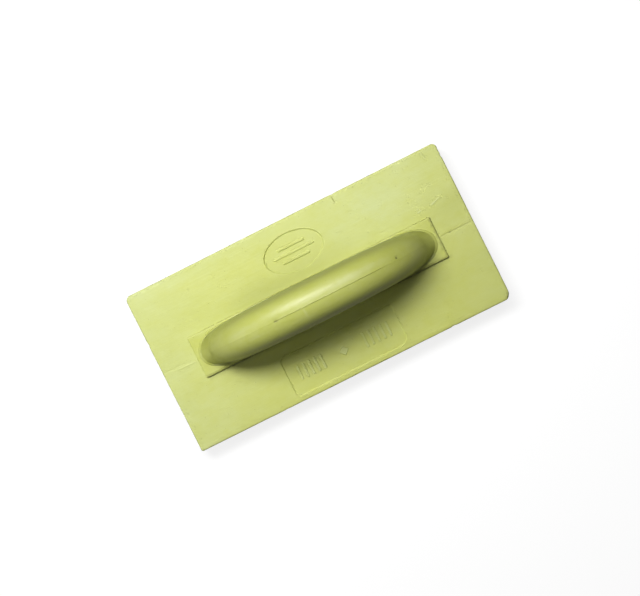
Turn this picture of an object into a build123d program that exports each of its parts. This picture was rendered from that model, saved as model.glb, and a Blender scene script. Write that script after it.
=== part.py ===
from build123d import *

import os
from math import cos, pi, sin

# Grout float: a rigid polyurethane plate with a bow handle let into its top and a gum-rubber sole.
# Millimetres. The origin is the centre of the sole's working face. +X runs along the length,
# +Y across the width towards the oval recess, and +Z up through the handle.

# Plate
PLATE_LENGTH = 280.0
PLATE_WIDTH = 140.0
PLATE_THICKNESS = 14.0
PLATE_DRAFT = 1.0  # degrees, each side wall leans in towards the top
PLATE_EDGE_RADIUS = 1.2
CORNER_RADII = {  # by the corner's direction in X and Y
    (-1, 1): 5.0,
    (1, 1): 4.5,
    (1, -1): 5.0,
    (-1, -1): 2.0,
}

# Sole and the two glue films
SOLE_THICKNESS = 6.0
SOLE_INSET = 0.5
SOLE_EDGE_RADIUS = 1.5
GLUE_THICKNESS = 0.4
GLUE_INSET = 1.0

# Handle: a flange let into the plate, and a bow that stands on it
FLANGE_LENGTH = 218.0
FLANGE_WIDTH = 36.0
FLANGE_CORNER_RADIUS = 1.0
FLANGE_EDGE_RADIUS = 0.5
FLANGE_PROUD = 1.6  # how far the flange stands above the plate
SEAT_DEPTH = 5.0
SEAT_GAP = 0.3  # all round the flange
BOW_HALF_LENGTH = 97.2
BOW_HEIGHT = 63.0
BOW_FULLNESS = 2.05  # superellipse exponent of the outer profile
OPENING_HALF_LENGTH = 62.0
OPENING_HEIGHT = 33.0
OPENING_FULLNESS = 2.8
FOOT_HALF_WIDTH = 15.6
GRIP_HALF_WIDTH = 17.6
FOOT_FULLNESS = 2.2
GRIP_FULLNESS = 2.05
WIDEST_SHARE = 0.414  # where a section is widest, from the finger opening to the back
SECTION_POINTS = 10  # along each half of a section
BOW_STATIONS = 26
FLARE_REACH = 8.2  # how far each foot spreads out towards its end, down at the flange
FLARE_HEIGHT = 15.0
BOW_ROOT = 3.0  # how far the bow runs down into the flange

# Moulded marks in the plate's top
MARK_DEPTH = 0.8
MARK_RELIEF = 0.6  # height of the raised bars above the recess floor
OVAL_CENTRE = (-0.5, 42.2)
OVAL_RADII = (25.7, 16.2)
OVAL_BAR_LENGTHS = (24.0, 36.0, 24.0)
OVAL_BAR_PITCH = 5.6
BAR_WIDTH = 2.2
PANEL_CENTRE = (0.0, -47.6)
PANEL_SIZE = (101.0, 35.0)
PANEL_RADIUS = 6.0
TALLY_COUNT = 5
TALLY_HEIGHT = 13.0
TALLY_PITCH = 5.2
TALLY_OFFSET = 29.5  # from the panel's centre to the middle of each group
DIAMOND_SIZE = 6.0

# Screws that hold the handle down, from under the plate
SCREW_STATIONS = (71.0, 88.0)  # distances from the middle, at each end
SCREW_LENGTH = 32.0
SCREW_RADIUS = 2.25
SCREW_CORE_RADIUS = 1.6
SCREW_PITCH = 2.0
SCREW_THREADS = 9
SCREW_TIP = 3.0
HEAD_RADIUS = 4.4
HEAD_SINK = 1.0  # depth of the head's face inside the plate
HEAD_RIM = 0.4
DRIVE_WIDTH = 1.0
DRIVE_LENGTH = 5.0
DRIVE_DEPTH = 1.8
CLEARANCE_RADIUS = 2.5
BORE_RADIUS = 2.3

OVERRUN = 1.0  # how far a cutting body runs past the surface that it opens

PLATE_BOTTOM = SOLE_THICKNESS + GLUE_THICKNESS
PLATE_TOP = PLATE_BOTTOM + PLATE_THICKNESS
SEAT_FLOOR = PLATE_TOP - SEAT_DEPTH
FLANGE_BOTTOM = SEAT_FLOOR + GLUE_THICKNESS
FLANGE_TOP = PLATE_TOP + FLANGE_PROUD
MARK_FLOOR = PLATE_TOP - MARK_DEPTH
SCREW_BASE = PLATE_BOTTOM + HEAD_SINK
SCREW_PLACES = [Location((side * x, 0, SCREW_BASE)) for side in (-1, 1) for x in SCREW_STATIONS]


def plan_outline(inset):
    """The plate's outline, drawn in by inset, with each corner at its own radius."""
    length = PLATE_LENGTH - 2 * inset
    width = PLATE_WIDTH - 2 * inset
    outline = Rectangle(length, width)
    for (x, y), radius in CORNER_RADII.items():
        corner = outline.vertices().sort_by_distance((x * length / 2, y * width / 2, 0))[0]
        outline = fillet(corner, radius)
    return outline


def slab(outline, bottom, height):
    return Pos(0, 0, bottom) * extrude(outline, height)


def flange_outline(gap=0):
    """The handle flange's outline, or its seat's with a gap all round."""
    return RectangleRounded(
        FLANGE_LENGTH + 2 * gap, FLANGE_WIDTH + 2 * gap, FLANGE_CORNER_RADIUS + gap
    )


def oval_marks():
    """The recess with three raised bars in it, as (recess, bars) outlines."""
    middle = Pos(*OVAL_CENTRE)
    first = -(len(OVAL_BAR_LENGTHS) - 1) / 2
    bars = [
        middle * Pos(0, (first + i) * OVAL_BAR_PITCH) * SlotOverall(length, BAR_WIDTH)
        for i, length in enumerate(OVAL_BAR_LENGTHS)
    ]
    return middle * Ellipse(*OVAL_RADII), bars


def panel_marks():
    """The rounded panel with two groups of upright bars and a diamond between them."""
    middle = Pos(*PANEL_CENTRE)
    first = -(TALLY_COUNT - 1) / 2
    bars = [
        middle * Pos(side * TALLY_OFFSET + (first + i) * TALLY_PITCH, 0) * Rot(0, 0, 90)
        * SlotOverall(TALLY_HEIGHT, BAR_WIDTH)
        for side in (-1, 1)
        for i in range(TALLY_COUNT)
    ]
    bars.append(middle * Rot(0, 0, 45) * Rectangle(DIAMOND_SIZE, DIAMOND_SIZE))
    return middle * RectangleRounded(*PANEL_SIZE, PANEL_RADIUS), bars


def screw_hole():
    """Clearance hole with its countersink, mouth down, in the screw's own frame."""
    mouth = -HEAD_SINK - OVERRUN
    mouth_radius = HEAD_RADIUS + HEAD_RIM
    top = SEAT_FLOOR - SCREW_BASE + OVERRUN
    profile = Polyline(
        (0, mouth), (mouth_radius, mouth), (mouth_radius, 0),
        (CLEARANCE_RADIUS, mouth_radius - CLEARANCE_RADIUS),
        (CLEARANCE_RADIUS, top), (0, top), close=True,
    )
    return revolve(Plane.XZ * make_face(profile), Axis.Z)


def float_plate():
    plate = Pos(0, 0, PLATE_BOTTOM) * extrude(plan_outline(0), PLATE_THICKNESS, taper=PLATE_DRAFT)
    plate = fillet(plate.edges().group_by(Axis.Z)[-1], PLATE_EDGE_RADIUS)
    for recess, bars in (oval_marks(), panel_marks()):
        plate -= slab(recess, MARK_FLOOR, MARK_DEPTH + OVERRUN)
        for bar in bars:
            plate += slab(bar, MARK_FLOOR, MARK_RELIEF)
    plate -= slab(flange_outline(SEAT_GAP), SEAT_FLOOR, SEAT_DEPTH + OVERRUN)
    for place in SCREW_PLACES:
        plate -= place * screw_hole()
    return plate


def power(value, exponent):
    """value to the power of exponent, with value's sign kept."""
    return abs(value) ** exponent * (1 if value >= 0 else -1)


def bow_point(turn, half_length, height, fullness):
    """A point of a superelliptic arch, with turn from 0 at one foot to pi at the other."""
    return Vector(
        half_length * power(cos(turn), 2 / fullness), 0, height * power(abs(sin(turn)), 2 / fullness)
    )


def bow_section(turn, drop=0):
    """The bow's cross-section between its outer profile and the finger opening, as a closed wire.
    Near the flange it spreads out towards the foot's end."""
    outer = bow_point(turn, BOW_HALF_LENGTH, BOW_HEIGHT, BOW_FULLNESS)
    inner = bow_point(turn, OPENING_HALF_LENGTH, OPENING_HEIGHT, OPENING_FULLNESS)
    rise = abs(sin(turn))
    half_width = FOOT_HALF_WIDTH + (GRIP_HALF_WIDTH - FOOT_HALF_WIDTH) * rise
    fullness = FOOT_FULLNESS + (GRIP_FULLNESS - FOOT_FULLNESS) * rise
    depth = outer - inner
    widest = inner + WIDEST_SHARE * depth + Vector(0, 0, FLANGE_TOP - drop)
    across = Vector(0, 1, 0)
    outward = Vector(1 if cos(turn) > 0 else -1, 0, 0)
    halves = []
    for side in (1, -1):
        ring = []
        for i in range(SECTION_POINTS + 1):
            angle = pi * i / SECTION_POINTS
            out = side * power(cos(angle), 2 / fullness)
            reach = (1 - WIDEST_SHARE if out > 0 else WIDEST_SHARE) * depth
            point = widest + out * reach + across * side * half_width * power(sin(angle), 2 / fullness)
            share = max(0, 1 - (point.Z + drop - FLANGE_TOP) / FLARE_HEIGHT)
            ring.append(point + outward * FLARE_REACH * share ** 2 * max(0, out))
        halves.append(Edge.make_spline(ring, tangents=[side * across, -side * across]))
    return Wire(halves)


def handle():
    turns = [pi / 2 * (1 - cos(pi * i / BOW_STATIONS)) for i in range(BOW_STATIONS + 1)]
    sections = [bow_section(0, BOW_ROOT)] + [bow_section(t) for t in turns] + [bow_section(pi, BOW_ROOT)]
    flange = slab(flange_outline(), FLANGE_BOTTOM, FLANGE_TOP - FLANGE_BOTTOM)
    flange = fillet(flange.edges().group_by(Axis.Z)[-1], FLANGE_EDGE_RADIUS)
    body = flange + Solid.make_loft(sections)
    depth = SCREW_BASE + SCREW_LENGTH + OVERRUN - FLANGE_BOTTOM
    for place in SCREW_PLACES:
        x = place.position.X
        body -= Pos(x, 0, FLANGE_BOTTOM + depth / 2) * Cylinder(BORE_RADIUS, depth)
    return body


def screw():
    """A countersunk wood screw, head down, with its threads drawn as rings."""
    cone_top = HEAD_RIM + HEAD_RADIUS - SCREW_CORE_RADIUS
    points = [(0, 0), (HEAD_RADIUS, 0), (HEAD_RADIUS, HEAD_RIM), (SCREW_CORE_RADIUS, cone_top)]
    first_thread = SCREW_LENGTH - SCREW_TIP - SCREW_THREADS * SCREW_PITCH
    for i in range(SCREW_THREADS):
        z = first_thread + i * SCREW_PITCH
        points += [(SCREW_CORE_RADIUS, z), (SCREW_RADIUS, z + SCREW_PITCH / 3)]
        points += [(SCREW_CORE_RADIUS, z + 2 * SCREW_PITCH / 3)]
    points += [(SCREW_CORE_RADIUS, SCREW_LENGTH - SCREW_TIP), (0, SCREW_LENGTH)]
    body = revolve(Plane.XZ * make_face(Polyline(*points, close=True)), Axis.Z)
    for turn in (0, 90):
        slot = Box(DRIVE_LENGTH, DRIVE_WIDTH, DRIVE_DEPTH, align=(Align.CENTER, Align.CENTER, Align.MIN))
        body -= Rot(0, 0, turn) * slot
    return body


def handle_screws():
    one = screw()
    return Compound([place * one for place in SCREW_PLACES])


def handle_adhesive():
    film = slab(flange_outline(), SEAT_FLOOR, GLUE_THICKNESS)
    for place in SCREW_PLACES:
        x = place.position.X
        film -= Pos(x, 0, SEAT_FLOOR) * Cylinder(CLEARANCE_RADIUS, 2 * (GLUE_THICKNESS + OVERRUN))
    return film


def rubber_sole():
    sole = slab(plan_outline(SOLE_INSET), 0, SOLE_THICKNESS)
    return fillet(sole.edges().group_by(Axis.Z)[0], SOLE_EDGE_RADIUS)


def sole_adhesive():
    return slab(plan_outline(GLUE_INSET), SOLE_THICKNESS, GLUE_THICKNESS)


PARTS = {
    "rubber_sole": rubber_sole,
    "sole_adhesive": sole_adhesive,
    "float_plate": float_plate,
    "handle_adhesive": handle_adhesive,
    "handle": handle,
    "handle_screws": handle_screws,
}

os.makedirs("parts", exist_ok=True)
for name, build in PARTS.items():
    export_step(build(), f"parts/{name}.step")
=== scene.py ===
from math import cos, inf, pi, radians, sin, sqrt, tan

import bmesh
import bpy
import numpy as np
from mathutils import Matrix, Vector, noise
from mathutils.geometry import delaunay_2d_cdt


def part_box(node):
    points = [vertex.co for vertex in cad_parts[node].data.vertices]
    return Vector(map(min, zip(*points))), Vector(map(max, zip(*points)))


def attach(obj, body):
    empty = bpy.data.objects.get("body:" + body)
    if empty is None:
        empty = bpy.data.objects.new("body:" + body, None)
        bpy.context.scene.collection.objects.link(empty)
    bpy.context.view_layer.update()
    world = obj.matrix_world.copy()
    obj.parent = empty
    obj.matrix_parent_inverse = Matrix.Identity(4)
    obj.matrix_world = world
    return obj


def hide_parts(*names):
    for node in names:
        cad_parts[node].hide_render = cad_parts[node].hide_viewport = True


# The looks of a grout float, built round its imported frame. Shapes are worked out in millimetres,
# in the frame's own axes: X along the handle, Y towards the oval recess, Z up.

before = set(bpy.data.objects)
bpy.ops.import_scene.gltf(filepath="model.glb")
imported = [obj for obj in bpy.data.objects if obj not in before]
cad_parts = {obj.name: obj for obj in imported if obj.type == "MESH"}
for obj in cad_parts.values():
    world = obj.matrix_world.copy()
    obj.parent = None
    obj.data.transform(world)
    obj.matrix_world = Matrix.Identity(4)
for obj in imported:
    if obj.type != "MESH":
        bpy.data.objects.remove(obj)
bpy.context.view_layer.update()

MM = 0.001


def span(node):
    """A CAD node's lowest and highest corners."""
    return [np.array(corner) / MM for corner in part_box(node)]


PLATE_LOW, PLATE_HIGH = span("float_plate")
HANDLE_LOW, HANDLE_HIGH = span("handle")
SOLE_LOW, SOLE_HIGH = span("rubber_sole")
GLUE_LOW, GLUE_HIGH = span("sole_adhesive")
SEAT_FLOOR = span("handle_adhesive")[0][2]

# Plate
CORNER_RADII = {(-1, 1): 5.0, (1, 1): 4.5, (1, -1): 5.0, (-1, -1): 2.0}
DRAFT = radians(1.0)
TOP_EDGE_RADIUS = 1.3
BOTTOM_EDGE_RADIUS = 0.4
OUTLINE_INSET = 0.12
OUTLINE_SPACING = 1.6
SIDE_SEAM_Y = 0.35  # the mould's parting line down the two end walls
SIDE_SEAM_WIDTH = 0.35
SIDE_SEAM_RIDGE = 0.16
SIDE_SEAM_FROM = 130
NICKS = [  # place on the outline, reach along it, depth
    ((-140, 27), 1.2, 0.6),
    ((140, 58), 1.5, 0.5),
    ((140, 63), 0.9, 0.6),
    ((139, -68), 3.0, 0.7),
    ((47, 70), 0.8, 0.5),
    ((-139, -45), 1.0, 0.4),
    ((88, -70), 1.3, 0.5),
    ((-62, -70), 0.9, 0.4),
]

# The handle's flange and its seat in the plate
SEAT_CENTRE = (0.02, -0.02)
SEAT_HALF = (109.06, 18.02)
SEAT_CORNER = 1.3
SEAT_LIP = 0.16
SEAT_SPACING = 1.1
SEAT_LOOPS = (0.08, 0.2, 0.4, 0.7, 1.3)
FLANGE_GAP = 0.06
FLANGE_CORNER = 1.2
FLANGE_EDGE = 0.4
FLANGE_FOOT = 0.2
FLANGE_INSET = 0.05
FLANGE_PROUD = 1.6
FLANGE_TOP = PLATE_HIGH[2] + FLANGE_PROUD
SCREW_PLACES = [(side * x, 0) for side in (-1, 1) for x in (71.0, 88.0)]
HOLE_RADIUS = 2.5
MOUTH_RADIUS = 4.8
MOUTH_DEPTH = 1.0
BORE_RADIUS = 2.3
CIRCLE_POINTS = 24
BORE_TOP = 40.4

# Moulded marks
MARK_DEPTH = 0.8
MARK_RELIEF = 0.68
OVAL_CENTRE = (-0.5, 42.2)
OVAL_RADII = (25.7, 16.2)
OVAL_BARS = (24.0, 36.0, 24.0)  # lengths
OVAL_PITCH = 5.6
BAR_WIDTH = 2.2
PANEL_CENTRE = (0.0, -47.6)
PANEL_HALF = (50.5, 17.5)
PANEL_RADII = {(-1, 1): 5.0, (1, 1): 4.5, (1, -1): 7.5, (-1, -1): 4.5}
TALLY_COUNT = 5
TALLY_HEIGHT = 13.0
TALLY_PITCH = 5.2
TALLY_OFFSET = 29.5
DIAMOND_HALF = 3.0
DIAMOND_CORNER = 0.6
WALL_RUN = (0.15, -0.75)  # a recess's wall, from its top edge to its floor
BAR_RUN = (0.12, -0.5)
WALL_LOOPS = (-1.5, -1.05, -0.78, -0.6, -0.42, -0.24, -0.06, 0.1, 0.3, 0.7, 1.3)
BAR_LOOPS = (-0.85, -0.6, -0.4, -0.2, 0.0, 0.18, 0.45, 0.9)

# Bow
BOW_HALF = 97.2
BOW_HEIGHT = 63.0
BOW_FULLNESS = 2.05
OPENING_HALF = 62.0
OPENING_HEIGHT = 33.0
OPENING_FULLNESS = 2.8
FOOT_HALF_WIDTH = 15.6
GRIP_HALF_WIDTH = 17.6
FOOT_FULLNESS = 2.2
GRIP_FULLNESS = 2.05
WIDEST = 0.414  # where a section is widest, from the finger opening to the back
ROOT_DEPTH = 3.0
FLARE_REACH = 8.2  # each foot spreads out towards its end, down at the flange
FLARE_HEIGHT = 15.0
BEAD_RADIUS = 1.1
RING_STEP = 1.6
FOOT_RINGS = (0.12, 0.3, 0.48, 0.62, 0.74, 0.84, 0.92, 1.05, 1.3, 1.7, 2.2, 2.8, 3.5, 4.2)
RING_POINTS = 32  # along each half of a section
SEAM_Y = -0.7  # the moulding line over the back
SEAM_POINTS = (0.12, 0.26, 0.45, 0.75, 1.2)  # extra points beside it
SEAM_STRETCH = (-36.4, 60.9)  # where the handle's halves are moulded out of line
SEAM_STEP = 0.19  # one side lies lower than the other, along that stretch
SEAM_RIDGE = (0.08, 0.04)  # the ridge beside it, and how much it grows along that stretch
CREST_NOTCH = (-34.5, SEAM_Y)
NOTCH_DEPTH = 0.5
PIT = (69.0, 0.8)  # a blow hole in the back
PIT_RADIUS = 0.75

# Waves of the moulded and cut surfaces: height, length, seed
PLATE_WAVES = [(0.10, 60, 1), (0.035, 16, 2), (0.010, 4, 3)]
PLATE_SIDE_WAVES = [(0.08, 9, 6)]
PLATE_OUTLINE_WAVES = [(0.10, 28, 4), (0.05, 5, 5)]
BOW_WAVES = [(0.10, 22, 11), (0.03, 6, 12)]
FLANGE_WAVES = [(0.06, 25, 15), (0.02, 7, 16)]
FLANGE_OUTLINE_WAVES = [(0.05, 20, 14)]
SOLE_OUTLINE_WAVES = [(0.12, 35, 21), (0.05, 7, 22)]
GLUE_OUTLINE_WAVES = [(1.0, 14, 31), (0.6, 4.5, 32)]

# Sole and glue line
SLAB_CORNER = 2.4  # their sharpest corner
SOLE_INSET = 0.15
SOLE_WORN_EDGE = 1.5
SOLE_TOP_EDGE = 0.5
GLUE_LUMP = 0.45
GLUE_REACH = (-0.6, 0.75)  # how far the glue stays back or is squeezed out


# ---------------------------------------------------------------- shapes

def ramp(start, end, value):
    """0 up to start and 1 from end, with a smooth run between."""
    t = np.clip((value - start) / (end - start), 0, 1)
    return t * t * (3 - 2 * t)


def ripples(points, size, seed):
    """Smooth noise from -1 to 1 at each point, with lumps about size across."""
    shift = Vector((seed * 7.3, seed * -3.1, seed * 5.7))
    flat = np.zeros((len(points), 3))
    flat[:, :points.shape[1]] = points
    return np.array([noise.noise(Vector(p) / size + shift) for p in flat])


def waves(points, layers):
    """Smooth noise built up from layers of (height, length, seed)."""
    return sum(height * ripples(points, length, seed) for height, length, seed in layers)


def blob(xy, centre, reach):
    """1 at the centre, fading away over its reach along X and along Y."""
    return np.exp(-np.sum(((xy - np.array(centre)) / np.array(reach)) ** 2, axis=1))


def blobs(xy, rows):
    """The sum of blobs given as (centre, reach, strength)."""
    return sum(strength * blob(xy, centre, reach) for centre, reach, strength in rows)


def round_loop(half, radii, spacing, arc_points=6, extra=()):
    """Points and outward normals round a box with its own radius at each corner, anticlockwise.
    extra adds points at these Y values on the two sides that face along X."""
    half_x, half_y = half
    points, normals = [], []
    corners = [(1, 1), (-1, 1), (-1, -1), (1, -1)]
    for i, (sx, sy) in enumerate(corners):
        radius = radii[sx, sy]
        centre = np.array([sx * (half_x - radius), sy * (half_y - radius)])
        for k in range(arc_points + 1):
            angle = pi / 2 * (i + k / arc_points)
            normal = np.array([cos(angle), sin(angle)])
            points.append(centre + radius * normal)
            normals.append(normal)
        next_x, next_y = corners[(i + 1) % 4]
        next_radius = radii[next_x, next_y]
        end = np.array([next_x * (half_x - next_radius), next_y * (half_y - next_radius)])
        end = end + next_radius * normals[-1]
        start = points[-1]
        length = np.linalg.norm(end - start)
        count = max(1, round(length / spacing))
        shares = [k / count for k in range(1, count)]
        if i in (1, 3) and extra:
            added = [(y - start[1]) / (end[1] - start[1]) for y in extra]
            near = 0.7 * spacing / length
            shares = [s for s in shares if min(abs(s - a) for a in added) > near] + added
        for share in sorted(shares):
            points.append(start + (end - start) * share)
            normals.append(normals[-1])
    return np.array(points), np.array(normals)


def even_radii(radius):
    return {(sx, sy): radius for sx in (-1, 1) for sy in (-1, 1)}


class Box:
    """A rounded box drawn on the plate, with its distance and its offset loops."""

    def __init__(self, centre, half, radii, turn=0.0):
        self.centre = np.array(centre, float)
        self.half = half
        self.radii = radii if isinstance(radii, dict) else even_radii(radii)
        self.turn = np.array([[cos(turn), -sin(turn)], [sin(turn), cos(turn)]])

    def distance(self, xy):
        """Distance outside the shape at each point, negative inside."""
        x, y = ((xy - self.centre) @ self.turn).T
        right = np.where(y > 0, self.radii[1, 1], self.radii[1, -1])
        left = np.where(y > 0, self.radii[-1, 1], self.radii[-1, -1])
        radius = np.where(x > 0, right, left)
        qx = np.abs(x) - self.half[0] + radius
        qy = np.abs(y) - self.half[1] + radius
        outside = np.hypot(np.maximum(qx, 0), np.maximum(qy, 0))
        return outside + np.minimum(np.maximum(qx, qy), 0) - radius

    def loop(self, spacing):
        points, normals = round_loop(self.half, self.radii, spacing)
        return points @ self.turn.T + self.centre, normals @ self.turn.T


class Oval(Box):
    """The same for an ellipse, whose half sizes are its radii."""

    def distance(self, xy):
        x, y = (xy - self.centre).T / np.array(self.half)[:, None]
        reach = np.hypot(x, y)
        slope = np.hypot(x / self.half[0], y / self.half[1]) + 1e-9
        return reach * (reach - 1) / slope

    def loop(self, spacing):
        angles = np.linspace(0, 2 * pi, 720, endpoint=False)
        path = np.stack([self.half[0] * np.cos(angles), self.half[1] * np.sin(angles)], 1)
        steps = np.linalg.norm(np.roll(path, -1, 0) - path, axis=1)
        along = np.concatenate([[0], np.cumsum(steps)[:-1]])
        count = round(steps.sum() / spacing)
        chosen = np.interp(np.arange(count) * steps.sum() / count, along, angles)
        points = np.stack([self.half[0] * np.cos(chosen), self.half[1] * np.sin(chosen)], 1)
        normals = points / np.array(self.half) ** 2
        normals /= np.linalg.norm(normals, axis=1)[:, None]
        return points + self.centre, normals


class Line:
    """A scratch, a crack or a moulding line: a path with a width and a depth, which fades at its ends."""

    ACROSS = (-1.65, -0.975, -0.6, -0.3, 0, 0.3, 0.6, 0.975, 1.65)  # rows of points, in widths

    def __init__(self, path, width, depth, fade):
        self.path = np.array(path, float)
        self.width = width
        self.depth = depth
        self.fade = fade

    def nearest(self, xy):
        """Distance from the path, and the share of its length at the nearest place, for each point."""
        best = np.full(len(xy), inf)
        share = np.zeros(len(xy))
        lengths = np.linalg.norm(np.diff(self.path, axis=0), axis=1)
        done = 0.0
        for a, b, length in zip(self.path[:-1], self.path[1:], lengths):
            t = np.clip((xy - a) @ (b - a) / length ** 2, 0, 1)
            far = np.linalg.norm(xy - (a + t[:, None] * (b - a)), axis=1)
            closer = far < best
            best = np.where(closer, far, best)
            share = np.where(closer, (done + t * length) / lengths.sum(), share)
            done += length
        return best, share

    def strength(self, xy):
        """1 on the path and 0 away from it."""
        far, share = self.nearest(xy)
        ends = ramp(0, self.fade, share) * ramp(0, self.fade, 1 - share)
        return np.exp(-(far / (0.5 * self.width)) ** 2) * ends

    def points(self):
        """Points beside the path, close enough together to carry its shape."""
        step = max(0.35, 0.5 * self.width)
        found = []
        for a, b in zip(self.path[:-1], self.path[1:]):
            length = np.linalg.norm(b - a)
            along = (b - a) / length
            across = np.array([-along[1], along[0]])
            for s in np.arange(0, length, step):
                for w in self.ACROSS:
                    found.append(a + along * s + across * w * self.width)
        return np.array(found)


# ---------------------------------------------------------------- meshes

class Skin:
    """Gathers points and faces, in millimetres, for one closed mesh."""

    def __init__(self):
        self.points = []
        self.faces = []

    def add(self, points):
        first = len(self.points)
        self.points.extend(tuple(p) for p in points)
        return list(range(first, len(self.points)))

    def ring(self, xy, z):
        return self.add(np.column_stack([xy, np.broadcast_to(z, len(xy))]))

    def strip(self, low, high):
        """Joins two rings of one length with quads, facing out where the rings run anticlockwise."""
        for i in range(len(low)):
            j = (i + 1) % len(low)
            self.faces.append((low[i], low[j], high[j], high[i]))

    def tube(self, rings):
        """Joins each ring to the next."""
        for low, high in zip(rings[:-1], rings[1:]):
            self.strip(low, high)

    def sheet(self, outer, holes, inside, height, up=True):
        """Fills between rings with triangles that pass through the inside points."""
        rings = [outer] + holes
        known = [i for ring in rings for i in ring]
        flat = [Vector(self.points[i][:2]) for i in known]
        edges = []
        for ring in rings:
            first = known.index(ring[0])
            edges += [(first + i, first + (i + 1) % len(ring)) for i in range(len(ring))]
        new = self.add(np.column_stack([inside, height(inside)])) if len(inside) else []
        index = known + new
        flat += [Vector(p) for p in inside]
        corners, _, faces, origin, _, _ = delaunay_2d_cdt(flat, edges, [], 0, 1e-6, True)
        back = [index[o[0]] for o in origin]
        centres = np.array([sum((corners[i] for i in f), Vector((0, 0))) / 3 for f in faces])
        keep = within(centres, [self.points[i][:2] for i in outer])
        for hole in holes:
            keep &= ~within(centres, [self.points[i][:2] for i in hole])
        for face, kept in zip(faces, keep):
            if kept:
                corner_ids = [back[i] for i in face]
                self.faces.append(tuple(corner_ids if up else reversed(corner_ids)))

    def mesh(self, name):
        """The mesh of the faces and of the points that they use."""
        used = sorted({i for face in self.faces for i in face})
        place_of = {point: k for k, point in enumerate(used)}
        corners = [tuple(c * MM for c in self.points[i]) for i in used]
        made = bpy.data.meshes.new(name)
        made.from_pydata(corners, [], [[place_of[i] for i in face] for face in self.faces])
        made.validate()
        return made


def within(points, outline):
    """Whether each point lies inside a closed outline."""
    outline = np.array(outline)
    inside = np.zeros(len(points), bool)
    for a, b in zip(outline, np.roll(outline, -1, 0)):
        crosses = (a[1] > points[:, 1]) != (b[1] > points[:, 1])
        if crosses.any():
            at = a[0] + (points[:, 1] - a[1]) / (b[1] - a[1] + 1e-15) * (b[0] - a[0])
            inside ^= crosses & (points[:, 0] < at)
    return inside


def thin(groups, area):
    """Keeps points that lie inside area and clear of every point kept before.
    groups is a list of (points, clearance), in order of importance."""
    cell = 2
    cells = {}
    kept = []
    for points, clearance in groups:
        for p in points[area(points)]:
            cx, cy = int(p[0] // cell), int(p[1] // cell)
            near = [
                q for i in (-1, 0, 1) for j in (-1, 0, 1) for q in cells.get((cx + i, cy + j), ())
            ]
            if all((p[0] - q[0]) ** 2 + (p[1] - q[1]) ** 2 > clearance ** 2 for q in near):
                cells.setdefault((cx, cy), []).append(p)
                kept.append(p)
    return np.array(kept)


def lattice(half, step):
    """Staggered rows of points over a box round the origin."""
    rows = np.arange(-half[1], half[1], step * sqrt(3) / 2)
    return np.array([
        (x + (step / 2 if k % 2 else 0), y)
        for k, y in enumerate(rows)
        for x in np.arange(-half[0], half[0], step)
    ])


def circle(centre, radius):
    angles = np.linspace(0, 2 * pi, CIRCLE_POINTS, endpoint=False)
    return np.array(centre) + radius * np.stack([np.cos(angles), np.sin(angles)], 1)


def place(mesh, name, material, slot, *nodes, sharp=40):
    """Shows a mesh as one piece of the object, standing for the CAD nodes."""
    mesh.materials.clear()
    mesh.materials.append(material)
    mesh.shade_smooth()
    mesh.set_sharp_from_angle(angle=radians(sharp))
    piece = bpy.data.objects.new(name, mesh)
    bpy.context.scene.collection.objects.link(piece)
    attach(piece, "root")
    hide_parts(*nodes)


def paint(mesh, name, values):
    """Stores one number for each point, for the materials to read."""
    layer = mesh.attributes.new(name, "FLOAT", "POINT")
    layer.data.foreach_set("value", np.clip(values, 0, 1).astype(np.float32))


def coordinates(mesh):
    found = np.zeros(len(mesh.vertices) * 3)
    mesh.vertices.foreach_get("co", found)
    return found.reshape(-1, 3) / MM


# ---------------------------------------------------------------- plate

def oval_bars():
    first = -(len(OVAL_BARS) - 1) / 2
    return [
        Box(np.add(OVAL_CENTRE, (0, (first + i) * OVAL_PITCH)), (length / 2, BAR_WIDTH / 2), BAR_WIDTH / 2)
        for i, length in enumerate(OVAL_BARS)
    ]


def panel_bars():
    first = -(TALLY_COUNT - 1) / 2
    bars = [
        Box(np.add(PANEL_CENTRE, (side * TALLY_OFFSET + (first + i) * TALLY_PITCH, 0)),
            (BAR_WIDTH / 2, TALLY_HEIGHT / 2), BAR_WIDTH / 2)
        for side in (-1, 1)
        for i in range(TALLY_COUNT)
    ]
    return bars + [Box(PANEL_CENTRE, (DIAMOND_HALF, DIAMOND_HALF), DIAMOND_CORNER, pi / 4)]


RECESSES = [Oval(OVAL_CENTRE, OVAL_RADII, 0), Box(PANEL_CENTRE, PANEL_HALF, PANEL_RADII)]
PANEL_BARS = panel_bars()
BARS = oval_bars() + PANEL_BARS
SEAT = Box(SEAT_CENTRE, SEAT_HALF, SEAT_CORNER)

# Moulding lines and damage on the plate's top: path, width, depth, and the share of the path over which
# each end fades. A negative depth stands up from the plate.
MOULD_LINES = [
    Line([(110, -0.4), (138.5, -0.4)], 1.1, 0.2, 0.04),
    Line([(-138.5, 0.9), (-119, 0.6)], 0.8, 0.14, 0.08),
    Line([(-128, -1.7), (-110.5, -2.2)], 1.1, -0.18, 0.15),
]
CRACKS = [
    Line([(46.2, 69.2), (46.4, 66), (47.1, 61)], 0.75, 0.5, 0.3),
    Line([(126.2, 69), (126.8, 64), (127.7, 60)], 0.4, 0.12, 0.3),
    Line([(117.6, 0.1), (119.4, -1.2)], 1.0, 0.3, 0.3),
]
SCUFFS = [
    Line([(125.6, 69), (126.2, 64), (127.1, 60)], 0.8, -0.12, 0.3),
    Line([(113, 25), (118, 26.6), (125, 29)], 1.0, -0.24, 0.3),
    Line([(101.5, 24.4), (106.5, 25.4)], 1.0, -0.22, 0.35),
    Line([(102, 26.8), (105, 27.8)], 0.7, -0.08, 0.35),
    Line([(71.5, 66.3), (74.5, 66.5)], 1.4, -0.1, 0.4),
    Line([(77, 67.2), (78.6, 66.6)], 1.0, -0.1, 0.4),
]
PLATE_LINES = MOULD_LINES + CRACKS + SCUFFS


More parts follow.
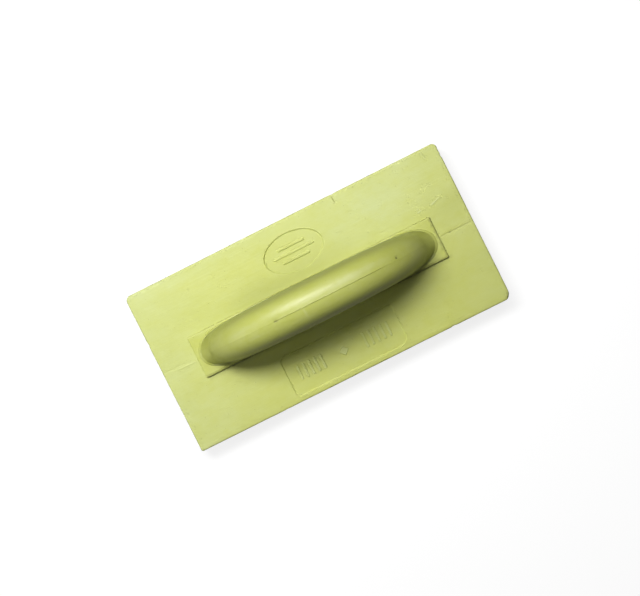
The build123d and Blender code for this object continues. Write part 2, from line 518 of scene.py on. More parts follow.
def plate_relief(xy):
    """Height of the plate's top over its flat plane."""
    z = waves(xy, PLATE_WAVES)
    for recess in RECESSES:
        z -= MARK_DEPTH * ramp(*WALL_RUN, recess.distance(xy))
    for bar in BARS:
        z += MARK_RELIEF * ramp(*BAR_RUN, bar.distance(xy))
    for line in PLATE_LINES:
        z -= line.depth * line.strength(xy)
    lip = np.clip(SEAT.distance(xy), 0, SEAT_LIP)
    return z - (SEAT_LIP - np.sqrt(SEAT_LIP ** 2 - (SEAT_LIP - lip) ** 2))


def plate_outline():
    """The plate's outline with its small waves and nicks."""
    half = PLATE_HIGH[:2]
    seam = [SIDE_SEAM_Y] + [SIDE_SEAM_Y + side * gap for side in (-1, 1) for gap in SEAM_POINTS]
    points, normals = round_loop(half, CORNER_RADII, OUTLINE_SPACING, 8, seam)
    out = waves(points, PLATE_OUTLINE_WAVES) - OUTLINE_INSET
    for spot, reach, depth in NICKS:
        gap = np.linalg.norm(points - np.array(spot), axis=1)
        out -= depth * np.exp(-(gap / reach) ** 2)
    return points, normals, out


def edge_profile(bottom, top, bottom_radius, top_radius, draft=0.0, side_step=1.0, arc_points=6):
    """(inset, height, share of the top's relief) from the bottom face's rim up to the top face's rim."""
    rows = []
    for angle in np.linspace(0, pi / 2, 4):
        rows.append((bottom_radius * (1 - sin(angle)), bottom + bottom_radius * (1 - cos(angle)), 0))
    low, high = bottom + bottom_radius, top - top_radius
    count = max(1, round((high - low) / side_step))
    for k in range(1, count):
        z = low + (high - low) * k / count
        rows.append((tan(draft) * (z - bottom), z, 0))
    side = tan(draft) * (high - bottom)
    for angle in np.linspace(0, pi / 2, arc_points + 1):
        rows.append((side + top_radius * (1 - cos(angle)), high + top_radius * sin(angle), sin(angle)))
    return rows


def plate_detail(rim):
    """Points inside the plate's top, closest together where it has marks, lines and damage."""
    groups = []
    marks = [(recess, WALL_LOOPS, 0.8) for recess in RECESSES] + [(bar, BAR_LOOPS, 0.5) for bar in BARS]
    for box, offsets, spacing in marks:
        points, normals = box.loop(spacing)
        groups += [(points + d * normals, 0.12) for d in offsets]
    groups += [(line.points(), 0.22) for line in PLATE_LINES]
    points, normals = SEAT.loop(SEAT_SPACING)
    groups += [(points + d * normals, 0.1) for d in SEAT_LOOPS]
    groups.append((lattice(PLATE_HIGH[:2], 2.4), 1.2))
    inner = rim * (1 - 0.9 / np.abs(rim).max(0))

    def area(points):
        return within(points, inner) & (SEAT.distance(points) > 0.05)

    return thin(groups, area)


def clear_of_screws(xy, gap):
    far = [np.linalg.norm(xy - np.array(spot), axis=1) for spot in SCREW_PLACES]
    return np.min(far, axis=0) > gap


def plate_mesh():
    skin = Skin()
    points, normals, out = plate_outline()
    bottom, top = PLATE_LOW[2], PLATE_HIGH[2]
    rings = []
    profile = edge_profile(bottom, top, BOTTOM_EDGE_RADIUS, TOP_EDGE_RADIUS, draft=DRAFT, side_step=2.0)
    for inset, z, share in profile:
        xy = points + (out - inset)[:, None] * normals
        side = waves(np.column_stack([xy, np.full(len(xy), z * 1.5)]), PLATE_SIDE_WAVES)
        at_end = np.abs(xy[:, 0]) > SIDE_SEAM_FROM
        ridge = SIDE_SEAM_RIDGE * blob(xy, (0, SIDE_SEAM_Y), (inf, SIDE_SEAM_WIDTH)) * at_end
        xy = xy + ((side + ridge) * (1 - share))[:, None] * normals
        rings.append(skin.ring(xy, z + share * plate_relief(xy)))
    skin.tube(rings)
    rim = np.array([skin.points[i][:2] for i in rings[-1]])

    seat_xy, _ = SEAT.loop(SEAT_SPACING)
    lip = skin.ring(seat_xy, top + plate_relief(seat_xy))
    foot = skin.ring(seat_xy, SEAT_FLOOR)
    skin.strip(lip, foot)
    skin.sheet(rings[-1], [lip], plate_detail(rim), lambda xy: top + plate_relief(xy))

    holes, mouths = [], []
    for spot in SCREW_PLACES:
        levels = [
            (HOLE_RADIUS, SEAT_FLOOR),
            (HOLE_RADIUS, bottom + MOUTH_DEPTH + MOUTH_RADIUS - HOLE_RADIUS),
            (MOUTH_RADIUS, bottom + MOUTH_DEPTH),
            (MOUTH_RADIUS, bottom),
        ]
        rings_down = [skin.ring(circle(spot, radius), z) for radius, z in levels]
        skin.tube(rings_down)
        holes.append(rings_down[0])
        mouths.append(rings_down[-1])
    floor_points = thin(
        [(lattice(SEAT_HALF, 6.0), 2.5)],
        lambda xy: (SEAT.distance(xy) < -2) & clear_of_screws(xy, HOLE_RADIUS + 1.5),
    )
    skin.sheet(foot, holes, floor_points, lambda xy: np.full(len(xy), SEAT_FLOOR))
    under_points = thin(
        [(lattice(PLATE_HIGH[:2] - 4, 8.0), 3)],
        lambda xy: clear_of_screws(xy, MOUTH_RADIUS + 2),
    )
    skin.sheet(rings[0], mouths, under_points, lambda xy: np.full(len(xy), bottom), up=False)
    return skin.mesh("plate")


# Places on the plate: centre, reach along X and Y, strength
PLATE_DUST = [
    ((70, 44), (50, 24), 0.8),
    ((0, 72), (inf, 13), 0.5),
]
# Painted shade: the handle's soft shadows on the plate above it and beside its right end.
PLATE_SHADE = [
    ((-38, 22), (34, 12), 0.5),
    ((5, 24), (26, 10), 0.25),
    ((136, 22), (22, 10), 0.3),
]
# The lower right corner is painted darker.
DARK_CORNER = ((138.5, -68), (3.0, 3.2), 0.8)
LEFT_DUST = ((-145, 0), (55, inf))  # a little stronger towards the lower edge
RIGHT_DUST = 0.25
# Painted shade over the plate's lower right.
LOWER_RIGHT_SHADE = 0.16
SCUFF_DUST = 0.9
MARK_DUST = 0.5
CRACK_GRIME = 0.5
MOULD_LINE_GRIME = 0.25
EDGE_GRIME = (0.22, 0.5)  # its share all along the edge, and how much that varies
EDGE_GRIME_REACH = (0.9, 1.2)  # in from the edge, and down from the top
# Painted shadow of the raised flange, along the seat's lower side.
SEAT_SHADOW = 0.85
SEAT_SHADOW_WIDTH = 1.1


def paint_plate(mesh):
    """Where the plate is pale with dried grout, where painted shade darkens it, and where it is dirty, with a
    painted shadow along the handle's seat.
    """
    points = coordinates(mesh)
    xy = points[:, :2]
    x, y = xy.T
    dusty = blobs(xy, PLATE_DUST)
    dusty += (0.55 - 0.001 * y) * blob(xy, *LEFT_DUST)
    dusty += RIGHT_DUST * ramp(85, 140, x)
    for line in SCUFFS:
        dusty += SCUFF_DUST * line.strength(xy)
    for bar in PANEL_BARS:
        dusty += MARK_DUST * ramp(0.1, BAR_RUN[1], bar.distance(xy))
    paint(mesh, "dust_and_highlight", dusty)
    # painted shade: above and right of the handle, and over the lower right
    lower_right = ramp(55, 110, x) * ramp(0, -30, y)
    paint(mesh, "tone_and_shade", blobs(xy, PLATE_SHADE) + LOWER_RIGHT_SHADE * lower_right)
    grime_and_shadow = blobs(xy, [DARK_CORNER])
    for line in CRACKS:
        grime_and_shadow += CRACK_GRIME * line.strength(xy)
    grime_and_shadow += MOULD_LINE_GRIME * MOULD_LINES[0].strength(xy)
    inward = np.min(np.array(PLATE_HIGH[:2]) - np.abs(xy), axis=1)
    from_edge = np.column_stack([inward, points[:, 2] - PLATE_HIGH[2]])
    least, change = EDGE_GRIME
    grime_and_shadow += blob(from_edge, (0, 0), EDGE_GRIME_REACH) * np.clip(least + change * ripples(xy, 9, 8), 0, 1)
    # painted shadow of the raised flange along the seat's lower side
    left, lower = SEAT_CENTRE[0] - SEAT_HALF[0] + 1, SEAT_CENTRE[1] - SEAT_HALF[1] + 1
    lower_side = (y < lower) * ramp(left, left + 1, x)
    grime_and_shadow += SEAT_SHADOW * np.exp(-(SEAT.distance(xy) / SEAT_SHADOW_WIDTH) ** 2) * lower_side
    paint(mesh, "grime_and_shadow", grime_and_shadow)


# ---------------------------------------------------------------- handle

def power(value, exponent):
    return np.sign(value) * np.abs(value) ** exponent


def arch(turn, half, height, fullness):
    """A point of a superelliptic arch, turning from 0 at its right foot to pi at its left."""
    return np.array([half * power(cos(turn), 2 / fullness), 0, height * abs(sin(turn)) ** (2 / fullness)])


def bow_turns():
    """Turns at even steps along the bow's back, and close together at the feet."""
    fine = pi / 2 * np.linspace(0, 1, 4000) ** 3
    path = np.array([arch(t, BOW_HALF, BOW_HEIGHT, BOW_FULLNESS) for t in fine])
    along = np.concatenate([[0], np.cumsum(np.linalg.norm(np.diff(path, axis=0), axis=1))])
    first = 5.0
    even = np.linspace(first, along[-1], round((along[-1] - first) / RING_STEP))
    half = np.interp([*FOOT_RINGS, *even], along, fine)
    return np.concatenate([half, (pi - half[:-1])[::-1]])


def section_angles():
    """Angles round a section from its top, with extra points beside the moulding line."""
    beside = np.array([SEAM_Y] + [SEAM_Y + side * gap for gap in SEAM_POINTS for side in (-1, 1)])
    seam = power(beside / GRIP_HALF_WIDTH, GRIP_FULLNESS / 2)
    even = np.linspace(-pi, pi, 2 * RING_POINTS + 1)[1:]
    reach = 1.3 * np.abs(seam).max()
    return np.sort(np.concatenate([seam, even[np.abs(even) > reach]]))


def seam_step(x, y, top):
    """How far the surface stands out or in beside the moulding line, over the back of the bow."""
    gap = y - SEAM_Y
    start, end = SEAM_STRETCH
    along = ramp(start, start + 4, x) * ramp(end, end - 8, x)
    step = -SEAM_STEP * along * ramp(0.10, -0.24, gap) * np.exp(-np.abs(gap) / 6.0)
    height, growth = SEAM_RIDGE
    ridge = (height + growth * along) * np.exp(-((gap - 0.25) / 0.32) ** 2)
    notch = -NOTCH_DEPTH * blob(np.column_stack([x, y]), CREST_NOTCH, (1.3, 0.8))
    return np.where(top, step + ridge + notch, 0)


def bow_ring(turn, drop=0.0):
    """One section of the bow, from its back at angle 0 round to the finger opening at pi."""
    outer = arch(turn, BOW_HALF, BOW_HEIGHT, BOW_FULLNESS)
    inner = arch(turn, OPENING_HALF, OPENING_HEIGHT, OPENING_FULLNESS)
    rise = abs(sin(turn))
    half_width = FOOT_HALF_WIDTH + (GRIP_HALF_WIDTH - FOOT_HALF_WIDTH) * rise
    fullness = FOOT_FULLNESS + (GRIP_FULLNESS - FOOT_FULLNESS) * rise
    depth = np.linalg.norm(outer - inner)
    outward = (outer - inner) / depth
    angles = section_angles()
    out = power(np.cos(angles), 2 / fullness)
    across = power(np.sin(angles), 2 / fullness)
    reach = depth * np.where(out > 0, 1 - WIDEST, WIDEST)
    sideways = np.array([0, 1, 0])
    points = inner + (WIDEST * depth + out * reach)[:, None] * outward
    points += (across * half_width)[:, None] * sideways
    normals = (out / reach)[:, None] * outward + (across / half_width)[:, None] * sideways
    normals /= np.linalg.norm(normals, axis=1)[:, None]
    height = np.maximum(points[:, 2], 0)
    bead = BEAD_RADIUS * np.sqrt(np.clip(1 - (height / BEAD_RADIUS) ** 2, 0, 1))
    push = bead + waves(points, BOW_WAVES) + seam_step(points[:, 0], points[:, 1], out > 0)
    points = points + push[:, None] * normals
    spread = FLARE_REACH * np.clip(1 - height / FLARE_HEIGHT, 0, 1) ** 2
    points[:, 0] += np.sign(cos(turn)) * spread * np.maximum(out, 0)
    points[:, 2] += FLANGE_TOP - drop
    return points


def bow_mesh():
    skin = Skin()
    turns = bow_turns()
    rings = [skin.add(bow_ring(turns[0], ROOT_DEPTH))]
    rings += [skin.add(bow_ring(t)) for t in turns]
    rings.append(skin.add(bow_ring(turns[-1], ROOT_DEPTH)))
    skin.tube(rings)
    skin.faces.append(tuple(reversed(rings[0])))
    skin.faces.append(tuple(rings[-1]))
    return skin.mesh("bow")


def flange_mesh():
    skin = Skin()
    half = HANDLE_HIGH[:2] - FLANGE_GAP
    points, normals = round_loop(half, even_radii(FLANGE_CORNER), OUTLINE_SPACING, 5)
    out = waves(points, FLANGE_OUTLINE_WAVES) - FLANGE_INSET

    def top(xy):
        return FLANGE_TOP + waves(xy, FLANGE_WAVES)

    rings = []
    bottom = HANDLE_LOW[2]
    profile = edge_profile(bottom, FLANGE_TOP, FLANGE_FOOT, FLANGE_EDGE, side_step=2.0, arc_points=4)
    for inset, z, share in profile:
        xy = points + (out - inset)[:, None] * normals
        rings.append(skin.ring(xy, z + share * (top(xy) - FLANGE_TOP)))
    skin.tube(rings)
    shape = Box((0, 0), half, FLANGE_CORNER)
    inside = thin([(lattice(half, 3.0), 1.4)], lambda xy: shape.distance(xy) < -1.5)
    skin.sheet(rings[-1], [], inside, top)
    under = thin([(lattice(half, 7.0), 3)], lambda xy: shape.distance(xy) < -2.5)
    skin.sheet(rings[0], [], under, lambda xy: np.full(len(xy), bottom), up=False)
    return skin.mesh("flange")


def cutter_mesh():
    """The four screw bores, and a blow hole in the handle's back."""
    tools = bmesh.new()
    for x, y in SCREW_PLACES:
        depth = BORE_TOP - HANDLE_LOW[2] + 1
        middle = Matrix.Translation(Vector((x, y, BORE_TOP - depth / 2)) * MM)
        bmesh.ops.create_cone(
            tools, cap_ends=True, segments=CIRCLE_POINTS,
            radius1=BORE_RADIUS * MM, radius2=BORE_RADIUS * MM, depth=depth * MM, matrix=middle,
        )
    back = BOW_HEIGHT * (1 - (PIT[0] / BOW_HALF) ** BOW_FULLNESS) ** (1 / BOW_FULLNESS)
    spot = Vector((PIT[0], PIT[1], FLANGE_TOP + back)) * MM
    bmesh.ops.create_icosphere(tools, subdivisions=2, radius=PIT_RADIUS * MM, matrix=Matrix.Translation(spot))
    made = bpy.data.meshes.new("cutters")
    tools.to_mesh(made)
    tools.free()
    return made


def combine(base, *steps):
    """Applies (operation, mesh) steps to a mesh, one after the other."""
    body = bpy.data.objects.new("body", base)
    bpy.context.scene.collection.objects.link(body)
    helpers = []
    for operation, mesh in steps:
        helper = bpy.data.objects.new("helper", mesh)
        bpy.context.scene.collection.objects.link(helper)
        helpers.append(helper)
        step = body.modifiers.new("step", "BOOLEAN")
        step.operation = operation
        step.solver = "EXACT"
        step.object = helper
    result = bpy.data.meshes.new_from_object(body.evaluated_get(bpy.context.evaluated_depsgraph_get()))
    for leftover in [body] + helpers:
        bpy.data.objects.remove(leftover)
    return result


# Scuffs and painted highlights on the handle's back: centre, reach along X and Y, strength. The two short
# streaks near x -11 and the two near x 21 are scuffs; the long blobs along the crest and on the left end near
# x -53 and -62 are painted highlights.
HANDLE_SCUFFS_AND_HIGHLIGHTS = [
    ((-11.6, -4.6), (0.7, 3.0), 0.75),
    ((-10.3, -6.0), (0.4, 2.2), 0.4),
    ((-53.2, 4.7), (9.0, 1.2), 0.4),
    ((-53.2, -4.8), (8.0, 1.0), 0.45),
    ((26.0, 4.2), (11.0, 2.2), 0.9),
    ((44.0, 4.4), (12.0, 2.0), 0.7),
    ((0.0, 4.2), (24.0, 1.8), 0.4),
    ((-62.0, 3.2), (12.0, 2.0), 0.4),
    ((20.5, 6.6), (0.5, 2.6), 0.5),
    ((23.0, 6.0), (0.5, 2.2), 0.5),
]
BACK_FROM, BACK_TO = FLANGE_TOP + 20, FLANGE_TOP + 34  # heights between which the back begins
# Painted highlight on the shaded lower side of the foot's bead.
BEAD_HIGHLIGHT = 0.7
# The bow's own deeper tone, everywhere above the flange.
BOW_TONE = 0.28
# Painted shade below the moulding line's step.
SEAM_SHADE = 0.14
# Painted shadow along the flange's right and lower edges.
FLANGE_SHADOW = 0.5
NOTCH_GRIME = 0.8
PIT_GRIME = 0.9


def paint_handle(mesh):
    """Scuffs and painted highlights on the handle, its own deeper tone with painted shade where it is steep,
    its dirt, and painted shade and shadow along the moulding line and the flange's edges.
    """
    points = coordinates(mesh)
    xy = points[:, :2]
    x, y, z = points.T
    back = ramp(BACK_FROM, BACK_TO, z)
    bead = ramp(FLANGE_TOP + 0.1, FLANGE_TOP + 0.4, z) * ramp(FLANGE_TOP + 2, FLANGE_TOP + 1, z)
    # scuffs, with painted highlights on the crest and on the bead's lower side
    paint(mesh, "dust_and_highlight", blobs(xy, HANDLE_SCUFFS_AND_HIGHLIGHTS) * back + BEAD_HIGHLIGHT * bead * ramp(-9, -12, y))
    # painted shade on the steep sides, over the bow's own deeper tone
    normals = np.zeros(3 * len(points))
    mesh.vertex_normals.foreach_get("vector", normals)
    _, sideways, upward = normals.reshape(-1, 3).T
    towards_side = sideways ** 2 / np.maximum(1 - upward ** 2, 0.01)
    steep = ramp(0.99, 0.45, upward) * (0.3 + 0.7 * towards_side)
    above_flange = ramp(FLANGE_TOP + 0.1, FLANGE_TOP + 1.1, z)
    paint(mesh, "tone_and_shade", (BOW_TONE + (1 - BOW_TONE) * steep) * above_flange)
    start, end = SEAM_STRETCH
    # painted shade below the moulding line's step
    line = blob(xy, (0, SEAM_Y - 0.25), (inf, 0.35)) * ramp(start - 1, start + 3, x) * ramp(end, end - 6, x)
    notch = blob(xy, CREST_NOTCH, (1.2, 0.9))
    pit = blob(xy, PIT, (0.9 * PIT_RADIUS, 0.9 * PIT_RADIUS))
    half_x, half_y = HANDLE_HIGH[:2]
    # painted shadow along the flange's right and lower edges
    lower_edge = ramp(1 - half_y, 0.5 - half_y, y) * (x > 1 - half_x)
    edge = np.maximum(ramp(half_x - 1, half_x - 0.5, x), 0.9 * lower_edge)
    grime_and_shadow = (SEAM_SHADE * line + NOTCH_GRIME * notch + PIT_GRIME * pit) * back
    grime_and_shadow += FLANGE_SHADOW * edge * (np.abs(z - FLANGE_TOP) < 0.6)
    paint(mesh, "grime_and_shadow", grime_and_shadow)


# ---------------------------------------------------------------- sole and glue

def slab_mesh(name, low, high, corner_inset, profile, out, grid):
    """A flat slab with the plate's outline and rings as its profile says. out is the wave of its outline,
    and grid the spacing of the points on its two faces."""
    skin = Skin()
    radii = {key: max(SLAB_CORNER, radius - corner_inset) for key, radius in CORNER_RADII.items()}
    points, normals = round_loop(high[:2], radii, 1.8, 8)
    edge = out(points)
    rings = []
    for inset, z, _ in profile:
        xy = points + (edge - inset)[:, None] * normals
        rings.append(skin.ring(xy, np.full(len(xy), z)))
    skin.tube(rings)
    shape = Box((0, 0), high[:2] - 2.5, radii)
    for ring, z, up in ((rings[-1], high[2], True), (rings[0], low[2], False)):
        inside = thin([(lattice(high[:2], grid), grid * 0.5)], lambda xy: shape.distance(xy) < -1)
        skin.sheet(ring, [], inside, lambda xy, level=z: np.full(len(xy), level), up=up)
    return skin.mesh(name)


def sole_mesh():
    def out(points):
        return waves(points, SOLE_OUTLINE_WAVES) - SOLE_INSET

    profile = edge_profile(SOLE_LOW[2], SOLE_HIGH[2], SOLE_WORN_EDGE, SOLE_TOP_EDGE, arc_points=4)
    return slab_mesh("sole", SOLE_LOW, SOLE_HIGH, 0.5, profile, out, 8.0)


def glue_mesh():
    """The glue line, whose edge runs in and out where it was squeezed."""
    def out(points):
        return np.clip(GLUE_LUMP * waves(points, GLUE_OUTLINE_WAVES), *GLUE_REACH)

    middle = (GLUE_LOW[2] + GLUE_HIGH[2]) / 2
    profile = [(0.25, GLUE_LOW[2], 0), (0.05, GLUE_LOW[2] + 0.1, 0), (0.0, middle, 0)]
    profile += [(0.05, GLUE_HIGH[2] - 0.1, 0), (0.25, GLUE_HIGH[2], 0)]
    return slab_mesh("glue", GLUE_LOW, GLUE_HIGH, 1.0, profile, out, 12.0)


# ---------------------------------------------------------------- materials

class Tree:
    """A material's nodes, with a short call for each kind that is used."""

    def __init__(self, name):
        self.material = bpy.data.materials.new(name)
        self.material.use_nodes = True
        self.tree = self.material.node_tree
        self.tree.nodes.clear()
        self.place = self.add("ShaderNodeTexCoord").outputs["Object"]

    def add(self, kind, inputs=None, **settings):
        node = self.tree.nodes.new(kind)
        for key, value in settings.items():
            setattr(node, key, value)
        for key, value in (inputs or {}).items():
            socket = node.inputs[key]
            if isinstance(value, bpy.types.NodeSocket):
                self.tree.links.new(value, socket)
            else:
                socket.default_value = value
        return node

    def stretched(self, lengths):
        """The place, scaled so that a pattern's lumps come out about these lengths across."""
        scale = [1 / (length * MM) for length in lengths]
        return self.add("ShaderNodeMapping", {"Vector": self.place, "Scale": scale}).outputs["Vector"]

    def clouds(self, lengths, detail=3.0, rough=0.5, low=0.0, high=1.0):
        """Noise from 0 to 1, with what lies between low and high spread over that range."""
        made = self.add(
            "ShaderNodeTexNoise",
            {"Vector": self.stretched(lengths), "Scale": 1.0, "Detail": detail, "Roughness": rough},
        ).outputs["Fac"]
        return self.spread(made, low, high)

    def spread(self, value, low, high, to_low=0.0, to_high=1.0):
        inputs = {"Value": value, "From Min": low, "From Max": high, "To Min": to_low, "To Max": to_high}
        return self.add("ShaderNodeMapRange", inputs, clamp=True).outputs["Result"]

    def dots(self, size, low, high):
        """1 at scattered small spots, in about one cell of five, and 0 between them."""
        made = self.add("ShaderNodeTexVoronoi", {"Vector": self.stretched((size,) * 3), "Scale": 1.0})
        spot = self.spread(made.outputs["Distance"], high, low)
        chosen = self.add("ShaderNodeSeparateColor", {"Color": made.outputs["Color"]}).outputs[0]
        return self.maths("MULTIPLY", spot, self.spread(chosen, 0.78, 0.82))

    def maths(self, operation, a, b=0.0, clamp=False):
        return self.add("ShaderNodeMath", {0: a, 1: b}, operation=operation, use_clamp=clamp).outputs[0]

    def mix(self, share, a, b):
        colours = [c if isinstance(c, bpy.types.NodeSocket) else (*c, 1.0) for c in (a, b)]
        made = self.add("ShaderNodeMix", {0: share, 6: colours[0], 7: colours[1]}, data_type="RGBA")
        return made.outputs[2]

    def painted(self, name):
        return self.add("ShaderNodeAttribute", attribute_name=name).outputs["Fac"]

    def bump(self, height, distance, normal=None):
        inputs = {"Height": height, "Distance": distance * MM, "Strength": 1.0}
        if normal is not None:
            inputs["Normal"] = normal
        return self.add("ShaderNodeBump", inputs).outputs["Normal"]

    def surface(self, **inputs):
        named = {key.replace("_", " "): value for key, value in inputs.items()}
        shader = self.add("ShaderNodeBsdfPrincipled", named)
        self.add("ShaderNodeOutputMaterial", {"Surface": shader.outputs[0]})
        return self.material


# Dirt colour, also used for the painted shadow lines and painted shade.
DIRT_AND_SHADOW_COLOUR = (0.10, 0.095, 0.030)
PAPER_GLOW = 0.82  # how bright the floor shows of itself to the camera
WORLD_GLOW = 0.95  # how bright the room shows to the camera
ROOM_GLOW = 0.06  # the light that the room gives


def polyurethane(name, base, pale, deep, tone_and_shade, roughness, streak):
    """Moulded polyurethane: mottled, faintly streaked along X, with pinholes, dried grout, scuffs and grime,
    with painted highlights, painted shadow lines, and painted shade mixed in by an attribute."""
    t = Tree(name)
    patches = t.clouds((34, 26, 26), detail=3, rough=0.55, low=0.38, high=0.62)
    mottle = t.clouds((9, 6, 6), detail=4, rough=0.6, low=0.30, high=0.72)
    streaks = t.clouds(streak, detail=2, rough=0.5, low=0.30, high=0.72)
    dust_and_highlight = t.painted("dust_and_highlight")
    broken = t.clouds((22, 13, 13), detail=6, rough=0.62, low=0.36, high=0.62)
    broken = t.spread(broken, 0, 1, to_low=0.45, to_high=1.15)
    dust_and_highlight_share = t.maths("MULTIPLY", dust_and_highlight, broken, clamp=True)
    colour = t.mix(t.spread(patches, 0, 1, to_high=0.50), base, deep)
    colour = t.mix(t.spread(mottle, 0, 1, to_high=0.22), colour, pale)
    colour = t.mix(t.spread(streaks, 0, 1, to_high=0.10), colour, deep)
    # pale dried grout and scuffs, and on the handle painted highlights
    colour = t.mix(t.maths("MULTIPLY", dust_and_highlight_share, 0.72), colour, pale)
    # painted shade: the handle's steep sides and the plate beside the handle; on the bow also its own deeper
    # tone
    colour = t.mix(t.painted("tone_and_shade"), colour, tone_and_shade)
    holes = t.dots(2.6, low=0.06, high=0.13)
    uneven = t.clouds((1.5, 1.5, 1.5), detail=3, rough=0.6, low=0.2, high=0.55)
    # grime, with painted shadow lines by the flange and painted shade along the handle's moulding line
    grime_and_shadow = t.maths("MULTIPLY", t.painted("grime_and_shadow"), uneven)
    dirt_and_shadow = t.maths("ADD", grime_and_shadow, t.maths("MULTIPLY", holes, 0.45), clamp=True)
    colour = t.mix(dirt_and_shadow, colour, DIRT_AND_SHADOW_COLOUR)
    grain = t.clouds((0.9, 0.55, 0.7), detail=3, rough=0.6)
    normal = t.bump(t.clouds((7, 4, 5), detail=3, rough=0.5), 0.10)
    normal = t.bump(streaks, 0.03, normal)
    normal = t.bump(grain, 0.020, normal)
    normal = t.bump(t.maths("SUBTRACT", 1.0, holes), 0.10, normal)
    gloss = t.spread(t.maths("ADD", streaks, dust_and_highlight_share), 0.0, 2.0, roughness - 0.08, roughness + 0.18)
    return t.surface(Base_Color=colour, Roughness=gloss, Normal=normal, IOR=1.46)


def plate_material():
    return polyurethane(
        "polyurethane_plate",
        base=(0.500, 0.530, 0.127),
        pale=(0.535, 0.590, 0.280),
        deep=(0.450, 0.482, 0.092),
        # colour of the painted shade
        tone_and_shade=(0.330, 0.355, 0.070),
        roughness=0.52,
        streak=(34, 1.3, 3),
    )


def handle_material():
    return polyurethane(
        "polyurethane_handle",
        base=(0.475, 0.508, 0.112),
        pale=(0.590, 0.625, 0.320),
        deep=(0.415, 0.445, 0.080),
        # colour of the painted shade and of the bow's deeper tone
        tone_and_shade=(0.215, 0.233, 0.043),
        roughness=0.40,
        streak=(45, 0.9, 0.9),
    )


def rubber_material():
    """Gum rubber: amber, mottled, matte, with a fine pitted face."""
    t = Tree("gum_rubber")
    clouds = t.clouds((24, 24, 6), detail=4, rough=0.6, low=0.3, high=0.7)
    specks = t.dots(1.1, low=0.10, high=0.22)
    colour = t.mix(clouds, (0.42, 0.21, 0.065), (0.56, 0.31, 0.115))
    colour = t.mix(t.maths("MULTIPLY", specks, 0.5), colour, (0.20, 0.09, 0.03))
    scuffs = t.clouds((18, 1.2, 1.2), detail=3, rough=0.6, low=0.55, high=0.8)
    colour = t.mix(t.maths("MULTIPLY", scuffs, 0.25), colour, (0.66, 0.52, 0.36))
    normal = t.bump(t.clouds((0.7, 0.7, 0.7), detail=4, rough=0.65), 0.05)
    normal = t.bump(t.maths("SUBTRACT", 1.0, specks), 0.08, normal)
    return t.surface(Base_Color=colour, Roughness=t.spread(clouds, 0, 1, 0.62, 0.78), Normal=normal)


def glue_material():
    """Dried contact glue: honey-brown, glossy where it was squeezed out."""
    t = Tree("adhesive")
    lumps = t.clouds((6, 6, 2), detail=4, rough=0.6, low=0.3, high=0.7)
    colour = t.mix(lumps, (0.38, 0.24, 0.09), (0.58, 0.44, 0.22))
    normal = t.bump(t.clouds((1.6, 1.6, 1.0), detail=3, rough=0.6), 0.10)
    return t.surface(Base_Color=colour, Roughness=t.spread(lumps, 0, 1, 0.25, 0.5), Normal=normal)


def zinc_material():
    """Yellow-passivated zinc on steel, brushed round the screw and rubbed bright in places."""
    t = Tree("screw_steel")
    tint = t.clouds((2.5, 2.5, 4), detail=3, rough=0.5, low=0.35, high=0.65)
    tone_and_shade = t.clouds((0.8, 0.8, 0.5), detail=4, rough=0.7, low=0.5, high=0.7)
    colour = t.mix(tint, (0.72, 0.60, 0.33), (0.66, 0.62, 0.52))
    colour = t.mix(t.maths("MULTIPLY", tone_and_shade, 0.5), colour, (0.74, 0.74, 0.72))
    normal = t.bump(t.clouds((0.25, 0.25, 2.0), detail=2, rough=0.5), 0.01)
    return t.surface(
        Base_Color=colour, Metallic=1.0, Roughness=t.spread(tone_and_shade, 0, 1, 0.36, 0.24), Normal=normal
    )


def floor_material():
    """Pale studio paper. The camera sees it near white, with soft shadows, and it lights the object as
    plain paper does."""
    t = Tree("studio_paper")
    seen = t.add("ShaderNodeLightPath").outputs["Is Camera Ray"]
    fibres = t.clouds((60, 60, 60), detail=3, rough=0.5)
    paper = t.mix(fibres, (0.49, 0.49, 0.485), (0.53, 0.53, 0.525))
    colour = t.mix(seen, paper, (0.20, 0.20, 0.20))
    glow = t.maths("MULTIPLY", seen, PAPER_GLOW)
    return t.surface(Base_Color=colour, Roughness=0.9, Emission_Color=(1, 1, 1, 1), Emission_Strength=glow)


# ---------------------------------------------------------------- object

plate = plate_mesh()
paint_plate(plate)
place(plate, "plate", plate_material(), "polyurethane_plate", "float_plate")

handle = combine(bow_mesh(), ("UNION", flange_mesh()), ("DIFFERENCE", cutter_mesh()))
paint_handle(handle)
place(handle, "bow_handle", handle_material(), "polyurethane_handle", "handle", sharp=48)

place(sole_mesh(), "sole", rubber_material(), "gum_rubber", "rubber_sole")
glue = glue_material()
place(glue_mesh(), "sole_glue", glue, "adhesive", "sole_adhesive")

for node, material in (("handle_adhesive", glue), ("handle_screws", zinc_material())):
    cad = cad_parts[node]
    cad.data.materials.clear()
    cad.data.materials.append(material)


# ---------------------------------------------------------------- studio

FLOOR_HALF = 4.0
FLOOR_Z = -0.3 * MM


def make_floor():
    mesh = bpy.data.meshes.new("floor")
    corners = [(-1, -1), (1, -1), (1, 1), (-1, 1)]
    mesh.from_pydata([(x * FLOOR_HALF, y * FLOOR_HALF, FLOOR_Z) for x, y in corners], [], [(0, 1, 2, 3)])
    mesh.materials.append(floor_material())
    floor = bpy.data.objects.new("floor", mesh)
    bpy.context.scene.collection.objects.link(floor)


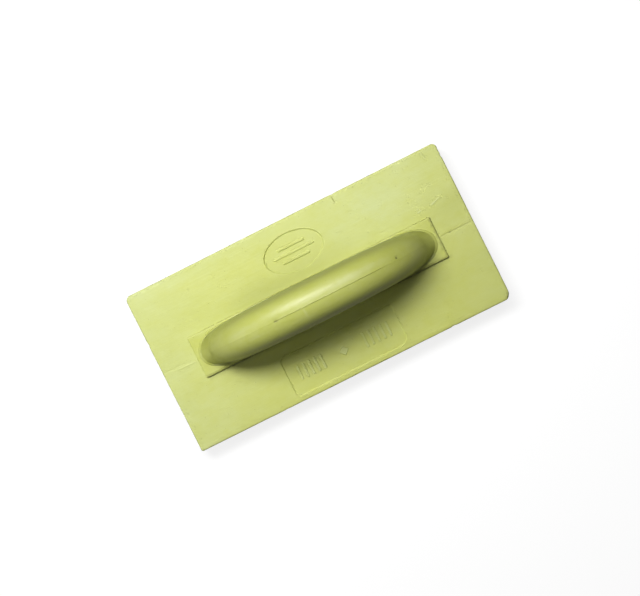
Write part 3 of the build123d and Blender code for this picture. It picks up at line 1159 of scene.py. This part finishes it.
def make_world():
    """A dim room all round, which the camera sees as white paper."""
    world = bpy.data.worlds.new("studio")
    world.use_nodes = True
    tree = world.node_tree
    background = tree.nodes["Background"]
    background.inputs["Color"].default_value = (1.0, 1.0, 1.0, 1.0)
    seen = tree.nodes.new("ShaderNodeLightPath").outputs["Is Camera Ray"]
    strength = tree.nodes.new("ShaderNodeMapRange")
    tree.links.new(seen, strength.inputs["Value"])
    strength.inputs["To Min"].default_value = ROOM_GLOW
    strength.inputs["To Max"].default_value = WORLD_GLOW
    tree.links.new(strength.outputs["Result"], background.inputs["Strength"])
    bpy.context.scene.world = world


# Lights: name, azimuth from +X towards +Y, elevation, distance, size, power, all round the object
LIGHTS = [
    ("key", 90, 66, 0.75, 0.28, 2.8),
    ("left_bank", 119, 56, 0.8, 0.29, 3.7),
    ("right_bank", 50, 60, 1.5, 0.55, 3.8),
    ("low_window", 180, 28, 0.9, 0.33, 1.5),
]


def make_lights():
    for name, azimuth, elevation, distance, size, power_watts in LIGHTS:
        a, e = radians(azimuth), radians(elevation)
        direction = Vector((cos(a) * cos(e), sin(a) * cos(e), sin(e)))
        data = bpy.data.lights.new(name, "AREA")
        data.shape = "DISK"
        data.size = size
        data.energy = power_watts
        light = bpy.data.objects.new(name, data)
        light.location = direction * distance
        light.rotation_mode = "QUATERNION"
        light.rotation_quaternion = (-direction).to_track_quat("-Z", "Y")
        bpy.context.scene.collection.objects.link(light)


# Camera: nearly overhead, turned so that the float's length rises to the right
CAMERA_PLACE = Vector((30.8, 16.0, 1020.4)) * MM
CAMERA_AIM = Vector((1.65, -1.03, 20.4)) * MM
CAMERA_TURN = radians(26.65)
CAMERA_LENS = 69.88


def make_camera():
    data = bpy.data.cameras.new("camera")
    data.lens = CAMERA_LENS
    data.sensor_width = 36.0
    camera = bpy.data.objects.new("camera", data)
    back = (CAMERA_PLACE - CAMERA_AIM).normalized()
    up = Vector((sin(CAMERA_TURN), cos(CAMERA_TURN), 0))
    right = up.cross(back).normalized()
    up = back.cross(right)
    turn = Matrix((right, up, back)).transposed()
    camera.matrix_world = Matrix.Translation(CAMERA_PLACE) @ turn.to_4x4()
    bpy.context.scene.collection.objects.link(camera)
    bpy.context.scene.camera = camera


make_floor()
make_world()
make_lights()
make_camera()
bpy.context.scene.view_settings.view_transform = "Standard"
